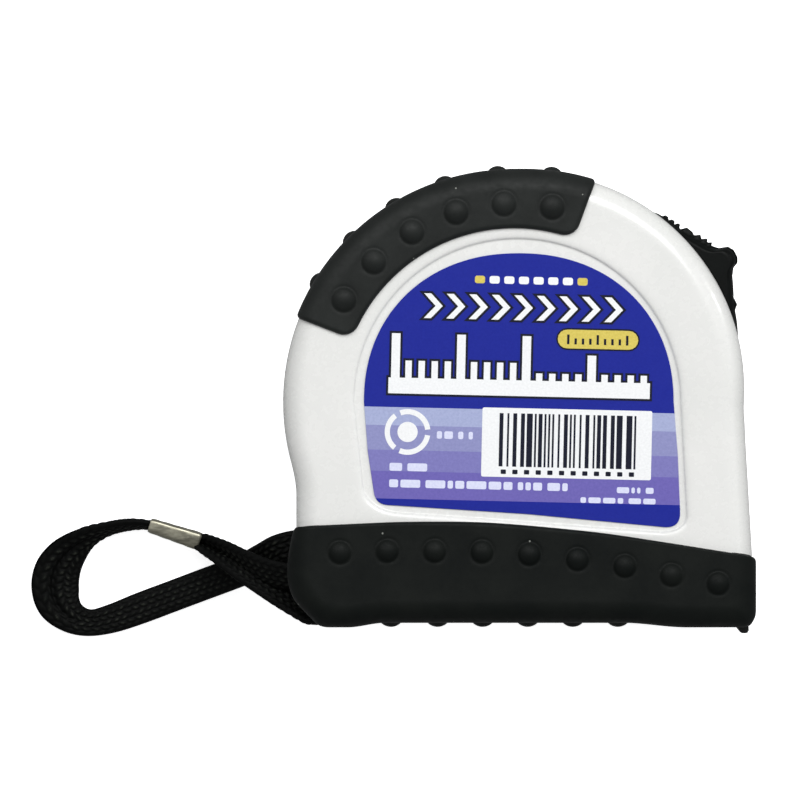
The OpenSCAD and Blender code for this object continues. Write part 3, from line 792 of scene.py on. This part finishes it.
# ---- Rubber grip and boot ----

MEAN_RADIUS = 30.0
DOT_HEIGHT = 0.7
GRIP_DOT, BOOT_DOT = 1.63, 1.5           # radius of the bumps on the face
GRIP_RIM_BUMP, SOLE_BUMP = (1.2, 0.5), (1.35, 0.55)     # radius and height of the bumps round the rim


def cap_height(distance, radius, height=DOT_HEIGHT):
    """Height of a round bump at a distance from its middle, with a small crease round its foot."""
    ball = (radius ** 2 + height ** 2) / (2 * height)
    cap = np.sqrt(np.maximum(ball ** 2 - distance ** 2, 0)) - (ball - height)
    crease = -0.06 * np.exp(-((distance - radius - 0.12) / 0.2) ** 2)
    return np.maximum(cap, 0) + crease


def edge_drop(distance, radius=0.6):
    inside = np.clip(radius - distance, 0, radius)
    return radius - np.sqrt(radius ** 2 - inside ** 2)


def rubber_solid(reach, top, start, stop, step, rows, dots, dot_radius, rim_bumps, bump):
    """Closed solid of half a rubber sleeve: up the rim from the parting plane, round the edge and in over the
    face to its inner edge. It is denser near its ends and its inner edge, which are rounded."""
    near_end = np.array([0, 0.05, 0.12, 0.22, 0.35, 0.5, 0.7]) / MEAN_RADIUS
    inset = 0.9 / MEAN_RADIUS
    between = np.linspace(start + inset, stop - inset, int((stop - start) / step))
    theta = np.concatenate([start + near_end, between, stop - near_end[::-1]])
    flat = HALF + PROUD - EDGE_ROUND
    quarter = EDGE_ROUND * math.pi / 2
    full, bent, edge = reach(theta, PROUD), reach(theta, PROUD - EDGE_ROUND), top(theta)
    body_full, body_bent = body_reach(theta, -SEAT), body_reach(theta, -EDGE_ROUND)
    turn_end = np.arccos(np.clip(1 - (full - edge) / (full - bent), 0, 1))
    length = np.where(edge > bent, EDGE_ROUND * turn_end, quarter + bent - edge)

    # way up the outside, below 0 on the rim, and its turn from the rim to the face
    rim = np.concatenate([[0, 0.05, 0.12, 0.25], np.linspace(0.5, flat, int(flat / 0.2))])[:, None] - flat
    tail = np.array([0.75, 0.6, 0.45, 0.32, 0.2, 0.11, 0.04, 0.0])[:, None] * np.minimum(1, length / 1.6)
    main = np.linspace(0, 1, rows)[1:, None] * (length - tail[0])
    way = np.concatenate([rim + 0 * theta, main, length - tail[1:]])
    turn = np.clip(way / EDGE_ROUND, 0, math.pi / 2)
    on_face = np.maximum(way - quarter, 0)
    rho = full - (full - bent) * (1 - np.cos(turn)) - on_face
    z = flat + EDGE_ROUND * np.sin(turn) + np.minimum(way, 0)
    share = on_face / np.maximum(bent - edge, 0.1)
    rho_in = body_full + (body_bent - body_full) * (1 - np.cos(turn))
    rho_in += share * (np.minimum(edge, body_bent) - body_bent)
    z_in = np.minimum(z, HALF - EDGE_ROUND + (EDGE_ROUND - SEAT) * np.sin(turn))
    points, inner = polar_grid(theta, zip(rho, z)), polar_grid(theta, zip(rho_in, z_in))
    out = unit(np.stack([np.gradient(full * np.sin(theta)), -np.gradient(full * np.cos(theta))], -1))
    normals = np.concatenate([out * np.cos(turn)[..., None], np.sin(turn)[..., None]], -1)

    from_top = np.where(way > 0, length - way, FAR)
    from_end = np.minimum(theta - start, stop - theta) * rho
    lift = np.maximum(-edge_drop(from_top) - edge_drop(from_end) * (from_top > 0), -0.6)
    lift -= 0.14 * np.exp(-(z / 0.1) ** 2)               # groove at the parting plane
    faces_up = normals[..., 2] > 0.5
    for x, y in dots:
        lift += cap_height(np.hypot(points[..., 0] - x, points[..., 1] - y), dot_radius) * faces_up
    for angle, height in rim_bumps:
        spot = polar_grid(angle, [(reach(angle, PROUD), height)])
        lift += cap_height(np.linalg.norm(points - spot, axis=-1), *bump) * ~faces_up
    return thick_sheet(points + normals * lift[..., None], inner)


def mirrored(solid):
    points, faces = solid
    return points * [1, 1, -1], faces


def make_grip(name, side, node):
    dots = arc((0, 0), 26.45, 79, 149, 6)
    bumps = [(math.radians(80.6 + 13.6 * i), 5.5) for i in range(6)]
    solid = rubber_solid(grip_reach, grip_top, GRIP_FROM, GRIP_TO, 0.0055, 62, dots, GRIP_DOT, bumps,
                         GRIP_RIM_BUMP)
    # the grip's rubber is the copy painted lighter, a painted sheen
    return make_piece(name, solid if side > 0 else mirrored(solid), "case", RUBBER, [node], 50)


BOOT_DOTS = [(-23.2, -20), (-16.9, -19.8), (-10.6, -19.8), (-4.3, -19.9), (2, -20.2), (8.4, -20.9),
             (14.7, -21.8), (20.9, -23), (27.1, -24.1)]
SOLE_BUMPS = (-16.4, -10.2, -4.2, 1.8, 7.8, 13.8)


def edge_crossing(low, high):
    """Angle at which the boot's upper edge meets its outline."""
    for _ in range(40):
        middle = (low + high) / 2
        if boot_top(middle) > boot_reach(middle, PROUD) - 0.06:
            low = middle
        else:
            high = middle
    return high


def make_boot(name, side, node):
    start = edge_crossing(math.radians(195), math.radians(250))
    stop = 2 * math.pi + edge_crossing(math.radians(-15), math.radians(-60))
    bumps = [(math.atan2(-29.4, x), 5.5) for x in SOLE_BUMPS]
    dots = [p for p in BOOT_DOTS if side > 0 or min(math.dist(p, q) for q in SCREWS) > 4.3]
    solid = rubber_solid(boot_reach, boot_top, start, stop, 0.0052, 96, dots, BOOT_DOT, bumps, SOLE_BUMP)
    boot = make_mesh(name, *(solid if side > 0 else mirrored(solid)))
    combine(boot, [MOUTH, HOOK_NOTCH, STRAP_POCKET] + screw_holes(side, SCREWS[2:], 0.3))
    return finish_piece(boot, "case", BOOT_RUBBER_PAINTED_SHADE, [node], sharp=50)


make_grip("grip_front_moulded", 1, "grip_front")
make_grip("grip_rear_moulded", -1, "grip_rear")
make_boot("boot_front_moulded", 1, "boot_front")
make_boot("boot_rear_moulded", -1, "boot_rear")


# ---- Label: a thin plate, and its print as thin plates on it ----

LABEL_LOW, LABEL_TOP = HALF - PANEL_DEPTH, HALF - PANEL_DEPTH + 0.15


def label_outline():
    power, wide, tall, middle = 2.15, 20.6, 19.8, 0.6
    outline = []
    for a in np.radians(np.linspace(0, 180, 120)):
        c, s = math.cos(a), math.sin(a)
        x = middle + wide * math.copysign(abs(c) ** (2 / power), c)
        outline.append((x, tall * abs(s) ** (2 / power)))
    corners = np.array([(-19.5, -6.5), (-18.45, -13.6), (1.7, -14.9), (22.15, -16.85), (21.75, -7.0)])
    outline.append(tuple(corners[0]))
    for before, here, after, radius in zip(corners, corners[1:], corners[2:], (2.0, 30.0, 2.0)):
        way_in, way_out = unit(here - before), unit(after - here)
        back = radius * math.tan(math.acos(way_in @ way_out) / 2)
        a, b = here - way_in * back, here + way_out * back
        for u in np.linspace(0, 1, 14):
            outline.append(tuple((1 - u) ** 2 * a + 2 * u * (1 - u) * here + u * u * b))
    return outline + [tuple(corners[-1])]


def offset(outline, distance):
    """The outline grown by distance. Outlines run anticlockwise."""
    p = np.array(outline, float)
    before, after = unit(p - np.roll(p, 1, 0)), unit(np.roll(p, -1, 0) - p)
    both = before + after
    away = both[:, ::-1] * [1, -1] / np.maximum((both * before).sum(1, keepdims=True), 0.35)
    return (p + away * distance).tolist()


def make_label():
    outline = np.array(label_outline())
    middle = np.array([0.6, 1.0])
    rings = [(1.0, LABEL_LOW), (1.0, LABEL_TOP - 0.04), (0.9985, LABEL_TOP)]
    stack = [np.column_stack([middle + (outline - middle) * f, np.full(len(outline), z)]) for f, z in rings]
    return make_piece("label_base", stack_of_rings(np.stack(stack)), "case", LABEL,
                      ["face_label"], sharp=30)


INK_STEP = 0.012


class Print:
    """Shapes printed on the label, gathered by ink and made into one piece each."""

    def __init__(self):
        self.shapes = {}

    def stamp(self, ink_name, outline, level=1):
        flat = rotated([(x, y, 0) for x, y in outline], -PRINT_TILT)[:, :2]
        plate = prism(flat, LABEL_TOP - 0.01, LABEL_TOP + level * INK_STEP)
        self.shapes.setdefault(ink_name, []).append(plate)

    def outlined(self, ink_name, outline, border=0.32):
        self.stamp("black", offset(outline, border), 1)
        self.stamp(ink_name, outline, 2)

    def make(self):
        inks = {"white": INK_WHITE, "black": INK_BLACK, "yellow": INK_YELLOW, "pale": INK_PALE}
        for ink_name, solids in self.shapes.items():
            make_piece(f"print_{ink_name}", joined(solids), "case", inks[ink_name], sharp=20)


def rectangle(low, high):
    return [low, (high[0], low[1]), high, (low[0], high[1])]


def chevron(x, y, width, height, stroke):
    """Arrow head that points right, with its lower left corner at x, y."""
    return [(x, y), (x + stroke, y), (x + width, y + height / 2), (x + stroke, y + height), (x, y + height),
            (x + width - stroke, y + height / 2)]


def scale_comb(x0, x1, y, base, teeth):
    """A measuring scale: a bar with teeth up from it. teeth are (x, width, height)."""
    outline = [(x0, y), (x1, y), (x1, y + base)]
    for x, width, height in sorted(teeth, reverse=True):
        outline += [(x + width / 2, y + base), (x + width / 2, y + height), (x - width / 2, y + height),
                    (x - width / 2, y + base)]
    return outline + [(x0, y + base)]


def print_label():
    sheet = Print()
    # a thin line of dashes, in place of a maker's line
    for k in range(8):
        x = -5.6 + 1.95 * k
        sheet.stamp("yellow" if k in (0, 7) else "white", rounded_box((x, 15.7), (x + 1.35, 16.7), 0.3))
    # a row of arrow heads that point along the pull of the tape
    for k in range(9):
        sheet.outlined("white", chevron(-12.3 + 3.0 * k, 10.9, 2.5, 3.3, 0.95))
    # a yellow tab with small marks
    tab = rounded_box((5.6, 7.3), (16.3, 9.8), 1.25)
    sheet.outlined("yellow", tab, 0.22)
    for k in range(9):
        x = 7.0 + 0.98 * k
        sheet.stamp("black", rectangle((x - 0.16, 7.85), (x + 0.16, 9.15 if k % 4 == 0 else 8.65)), 3)
    # a large measuring scale
    teeth = []
    for k in range(20):
        tall = 8.0 if k < 11 else 5.6
        teeth.append((-15.9 + 1.74 * k, 1.15, tall) if k % 5 == 0 else (-15.9 + 1.74 * k, 0.85, 0.55 * tall))
    sheet.outlined("white", scale_comb(-16.8, 18.0, 0.8, 2.1, teeth), 0.3)
    # a white panel with plain stripes of uneven width
    sheet.stamp("white", rounded_box((-4.2, -10.0), (18.4, -0.8), 0.25), 2)
    stripes = np.random.default_rng(5)
    x = -1.9
    while x < 16.6:
        width = 0.26 * float(stripes.choice([1, 1, 2, 2, 3]))
        sheet.stamp("black", rectangle((x, -8.6), (x + width, -1.5)), 3)
        x += width + 0.26 * float(stripes.choice([1, 1, 2, 2]))
    for k in range(12):
        sheet.stamp("black", rounded_box((-1.6 + 1.55 * k, -9.6), (-0.9 + 1.55 * k, -9.0), 0.1), 3)
    # a plain ring in three arcs, with a dot in it
    middle = (-14.1, -4.3)
    for a in (8, 128, 248):
        sheet.stamp("white", arc(middle, 3.05, a, a + 104, 16) + arc(middle, 2.35, a + 104, a, 16), 2)
    sheet.stamp("white", arc(middle, 1.35, 0, 348, 30), 2)
    # short dashes in rows, in place of small lettering
    rows = [(-10.2, -5.4, -5.1, 1.0, 1.15), (-16.4, -10.2, -9.5, 1.05, 1.2), (-16.4, 8.2, -11.7, 1.05, 1.2),
            (13.9, 19.3, -11.8, 0.8, 0.75), (9.1, 19.3, -13.2, 0.75, 0.75)]
    for x0, x1, y, tall, wide in rows:
        x = x0
        while x < x1 - 0.5:
            width = min(wide * float(stripes.choice([0.6, 1.0, 1.4, 2.2])), x1 - x)
            sheet.stamp("pale", rounded_box((x, y), (x + width, y + tall), 0.2, 3), 1)
            x += width + float(stripes.choice([0.3, 0.3, 0.7]))
    sheet.make()


make_label()
print_label()


# ---- Slide lock ----

SLIDER_PROFILE = [
    (15, 30.9), (17, 31.2), (20, 31.6), (22.6, 31.9), (23.6, 32.45), (24.6, 32.45), (25.4, 32.4), (30, 33.6),
    (31.5, 34.3), (31.9, 35.1), (33, 35.5), (34.7, 35.6), (36, 35.25), (37, 34.1), (38.4, 33.55),
    (38.9, 33.95), (39.5, 33.4), (40.3, 33.75), (41, 33.1), (41.9, 33.4), (42.8, 32.7), (43.6, 32.85),
    (45.3, 32.75), (46, 32.0), (46.5, 32.0), (46.9, 32.4), (47.5, 32.35), (47.9, 31.85), (48.4, 32.25),
    (49.2, 32.2), (49.6, 31.8), (50.2, 32.1), (51, 32.05), (51.4, 31.7), (52.6, 31.6), (55, 31.2),
]
SLIDER_BASE = [
    (15, 30.8), (17, 31.1), (20, 31.5), (22.6, 31.8), (25.8, 32.4), (30, 33.5), (31.5, 34.1), (31.9, 34.75),
    (33, 35.2), (34.7, 35.3), (36, 34.95), (37, 33.8), (38.4, 33.2), (39.5, 32.95), (41, 32.65), (42.8, 32.3),
    (45.3, 31.95), (48, 31.72), (51, 31.6), (52.6, 31.45), (55, 31.15),
]
SLIDER_HALF, SLIDER_INNER = 4.6, 30.2
LOCK_TRAVEL = 8          # degrees, after which the foot is on the tape


def smoothed_profile(rows, angle, width):
    """Radius at each angle, with the corners between the rows rounded."""
    rows = np.array(rows, float)
    radius = np.interp(angle, rows[:, 0], rows[:, 1])
    weights = np.hanning(width + 2)[1:-1]
    return np.convolve(np.pad(radius, width // 2, mode="edge"), weights / weights.sum(), mode="valid")


def slider_block():
    """The slide from end to end: its smooth body, with the ribs standing on the middle of its back."""
    angle = np.linspace(15, 55, 470)
    base = smoothed_profile(SLIDER_BASE, angle, 15)
    full = np.maximum(smoothed_profile(SLIDER_PROFILE, angle, 5), base)
    drop = np.minimum(1, (base - SLIDER_INNER) / 1.6)
    side = ((0.1, 0), (0, 0.12), (0, 0.35), (0, 0.6), (0, 0.8), (0, 0.94), (0, 1))
    round_edge = ((0.06, 0.66), (0.2, 0.46), (0.42, 0.28), (0.66, 0.12), (0.85, 0.03), (1.0, 0.0))
    back = ((3.5, 0.25), (3.42, 0.7), (3.3, 1.0), (2.2, 1.0), (1.1, 1.0))
    depth = base - 0.82 * drop - SLIDER_INNER
    half = [(SLIDER_INNER + depth * up, SLIDER_HALF - inset) for inset, up in side]
    half += [(base - down * drop, SLIDER_HALF - inset) for inset, down in round_edge]
    half += [(base + (full - base) * share, z) for z, share in back]
    ring = half + [(full, 0)] + [(r, -z) for r, z in half[::-1]]
    return stack_of_rings(polar_grid(np.radians(angle), ring).swapaxes(0, 1))


def lock_arm():
    """Arm inside the case, from the slider down to the foot over the tape."""
    arm_half, radius, thick = 2.2, 26.7, 1.4
    foot_x, foot_top, foot_half = 24.0, -24.2, 1.6
    solids = [ring_sector(radius - thick / 2, SLIDER_INNER + 0.5, 20, 40, -arm_half, arm_half),
              ring_sector(radius - thick / 2, radius + thick / 2, -26.5, 20, -arm_half, arm_half)]
    foot = box_solid((foot_x - foot_half, foot_top, -arm_half),
                     (foot_x + foot_half, foot_top + 1.6, arm_half), 0.3)
    end = np.array(arc((0, 0), radius, -34, -34, 1)[0])
    way = np.array([foot_x, foot_top + 1]) - end
    link, faces = box_solid((0, -thick / 2, -arm_half), (math.hypot(*way), thick / 2, arm_half), 0.2)
    link = rotated(link, math.degrees(math.atan2(way[1], way[0])), (*end, 0))
    solids += [(rotated(points, LOCK_TRAVEL), faces) for points, faces in (foot, (link, faces))]
    return joined(solids)


def make_lock():
    make_piece("lock_thumb_slide", slider_block(), "lock", LOCK, ["lock_slider"], sharp=45)
    make_piece("lock_inner_arm", lock_arm(), "lock", LOCK, sharp=30, bevel=0.12)


make_lock()


# ---- Tape and hook ----

BLADE_Y, BLADE_THICK, BLADE_HALF, BLADE_SAG, BLADE_END = -26.2, 0.15, 6.5, 1.6, 29.3
BLADE_LENGTH = 2000.0
TAPE_COLS = 27


def tape_solid(stations, curl, width_share):
    """Thin closed strip along x. stations are x, curl the share of the full curve, width_share narrows it."""
    z = np.linspace(-BLADE_HALF, BLADE_HALF, TAPE_COLS)[None]
    y = BLADE_Y + BLADE_SAG * (curl[:, None] * z / BLADE_HALF) ** 2
    x = stations[:, None] + 0 * z
    wide = z * width_share[:, None]
    return thick_sheet(*(np.stack([x, y + up, wide], -1) for up in (BLADE_THICK / 2, -BLADE_THICK / 2)))


def ruler_map(stations):
    """(u, v) in millimetres along the tape and across it, for each point of a tape_solid."""
    u, v = np.meshgrid(stations, np.linspace(-BLADE_HALF, BLADE_HALF, TAPE_COLS), indexing="ij")
    return np.tile(np.stack([u.ravel(), v.ravel()], 1), (2, 1))


def make_tape():
    corner = 2.5
    x = np.append(np.linspace(0, BLADE_END - corner, 60), BLADE_END - corner + np.array(
        [0.5, 1.0, 1.5, 1.9, 2.2, 2.4, 2.5]))
    from_tip = BLADE_END - x
    round_end = 1 - np.sqrt(np.clip(1 - (1 - np.minimum(from_tip / corner, 1)) ** 2, 0, 1))
    solid = tape_solid(x, np.minimum(1, (x + 1) / 11), 1 - 0.16 * round_end)
    tip = make_piece("tape_leading_end", solid, "tape", TAPE, ["blade"], sharp=40)
    add_uv(tip, "ruler", ruler_map(from_tip))

    # the stretch behind it, denser towards both ends, w is its share of the whole
    steps = 400
    w = np.linspace(0, 1, steps + 1)
    share = 0.5 - np.sin(np.arcsin(1 - 2 * w) / 3)
    start_x, end_x = -2.0, 0.0
    curl = np.minimum(1, w / 0.012) * (1 - 0.91 * smooth_step(w, 0.985, 1))
    solid = tape_solid(start_x + share * (end_x - start_x), curl, np.ones(steps + 1))
    run = make_mesh("tape_pulled_run", *solid)
    run.data.materials.append(TAPE)
    run.data.shade_smooth()
    add_uv(run, "ruler", ruler_map(BLADE_END + (1 - w) * BLADE_LENGTH))
    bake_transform(run)


def make_hook():
    """Bent sheet: a tongue under the tape, and a face that turns up a little way and down past the sole."""
    face, thick, tongue, bend, half_wide, round_off = 30.1, 0.9, 0.6, 0.9, 6.5, 0.15
    top = BLADE_Y - BLADE_THICK / 2 - 0.03
    middle, front = top - tongue / 2, face + thick / 2
    path = [(22.6, middle), (26, middle), (front - bend, middle)]
    path += arc((front - bend, middle - bend), bend, 90, 0, 8)[1:]
    spots = np.array(path + [(front, -28.6), (front, -29.6), (front - 0.05, -30.3)])
    side = unit(np.gradient(spots, axis=0))[:, ::-1] * [1, -1]
    half = np.interp(spots[:, 0], [22.6, 28, face], [tongue / 2, tongue / 2, thick / 2 - 0.06])
    half = np.where(spots[:, 1] < -30, 0.25, half)[:, None]
    width = np.interp(spots[:, 0], [22.6, 23.3, 28.6, 29.6], [2.6, 3.2, 3.2, half_wide])
    width = np.where(spots[:, 0] < 29.0, np.minimum(width, 3.2), width)
    corners = [(0, -1, round_off), (0, 1, round_off), (0.3, 1, 0), (0.7, 1, 0),
               (1, 1, round_off), (1, -1, round_off), (0.7, -1, 0), (0.3, -1, 0)]
    rings = np.stack([np.column_stack([spots + side * half * (2 * share - 1), sign * (width - inset)])
                      for share, sign, inset in corners], 1)
    hook = make_mesh("end_hook_bent", *stack_of_rings(rings))
    lip = box_solid((face, top - 1.0, -half_wide), (face + thick, top + 1.6, half_wide), 0.3)
    tooth = prism([(29.5, -29.85), (30.2, -30.72), (30.5, -30.8), (31.05, -30.75), (31.25, -30.4),
                   (31.2, -29.2), (30.1, -29.2)], -half_wide, half_wide)
    combine(hook, [lip, tooth], "UNION")
    soften(hook, 0.12, degrees=50)
    nail_hole, faces = round_hole((0, 0), 0.8, 20, 40)
    cutters = [(nail_hole[:, [2, 1, 0]] + [0, -28.4, 0], faces)]
    play = 0.9
    for x in (24.6, 27.4):
        slot = arc((x, 0), 0.85, -90, 90, 12) + arc((x - play, 0), 0.85, 90, 270, 12)
        points, faces = prism(slot, -30, -20)
        cutters.append((points[:, [0, 2, 1]], faces))
    combine(hook, cutters)
    finish_piece(hook, "hook", HOOK, ["end_hook"], sharp=40)


make_tape()
make_hook()


# ---- CAD parts that keep their shape, with softened edges and their materials ----

def keep_cad(node, material, edge=0.0):
    thing = frame["nodes"][node]
    thing.data.materials.clear()
    thing.data.materials.append(material)
    weld = thing.modifiers.new("weld", "WELD")
    weld.merge_threshold = 1e-6
    if edge:
        soften(thing, edge)


for node, material, edge in [
    ("case_screws", PLATED, 0.1), ("center_post", INNER, 0.1), ("post_washers", PLATED, 0.05),
    ("strap_pin", PLATED, 0.2), ("hook_bumper", BUMPER, 0), ("brake_pad", BUMPER, 0.15),
    ("spring_drum", INNER, 0.15), ("drum_cover", INNER, 0.15), ("power_spring", SPRING, 0),
    ("blade_coil", TAPE, 0.05), ("hook_rivets", PLATED, 0.1),
]:
    keep_cad(node, material, edge)


# ---- Floor and light ----

def make_floor():
    mesh = bpy.data.meshes.new("floor")
    mesh.from_pydata([(-6, -6, 0), (6, -6, 0), (6, 6, 0), (-6, 6, 0)], [], [(0, 1, 2, 3)])
    floor = bpy.data.objects.new("floor", mesh)
    bpy.context.scene.collection.objects.link(floor)
    p = Paint("floor_paper", Roughness=0.9, Emission_Color=(1, 1, 1, 1), Emission_Strength=0.8)
    p.colour(p.ramp(p.noise(40, 2), [(0.3, (0.93, 0.93, 0.93)), (0.7, (0.95, 0.95, 0.95))]))
    mesh.materials.append(p.material)
    floor.visible_diffuse = floor.visible_glossy = False     # as if dark cards stood round the case's foot


# name, place and size in metres, power in watts, and whether the light is seen in glossy surfaces
LIGHTS = [
    ("overhead", (-0.05, 0.2, 0.31), (0.3, 0.25), 0.56, True),
    ("upper_right", (0.34, 0.6, 1.0), (0.5, 0.5), 4.5, True),
    ("upper_left", (-0.6, 0.62, 0.75), (0.5, 0.5), 2.2, True),
    ("right", (0.9, 0.1, 0.6), (0.5, 0.5), 2.9, False),
    ("below", (0.1, -0.9, 0.6), (0.7, 0.4), 1.0, False),
    ("low_right", (1.1, 0.5, 0.42), (0.12, 0.3), 1.2, True),
]
AIM = Vector((-0.01, 0, 0.01))


def make_light():
    world = bpy.data.worlds.new("world")
    bpy.context.scene.world = world
    world.use_nodes = True
    back = world.node_tree.nodes["Background"]
    back.inputs["Color"].default_value = (0.98, 0.99, 1.0, 1)
    back.inputs["Strength"].default_value = 0.3
    for name, place, (width, height), power, seen_in_gloss in LIGHTS:
        data = bpy.data.lights.new(name, "AREA")
        data.shape, data.size, data.size_y = "RECTANGLE", width, height
        data.energy = power
        light = bpy.data.objects.new(name, data)
        light.location = place
        light.rotation_euler = (AIM - Vector(place)).to_track_quat("-Z", "Y").to_euler()
        light.visible_camera = False
        light.visible_glossy = seen_in_gloss
        bpy.context.scene.collection.objects.link(light)


make_floor()
make_light()
bpy.context.scene.view_settings.view_transform = "Standard"
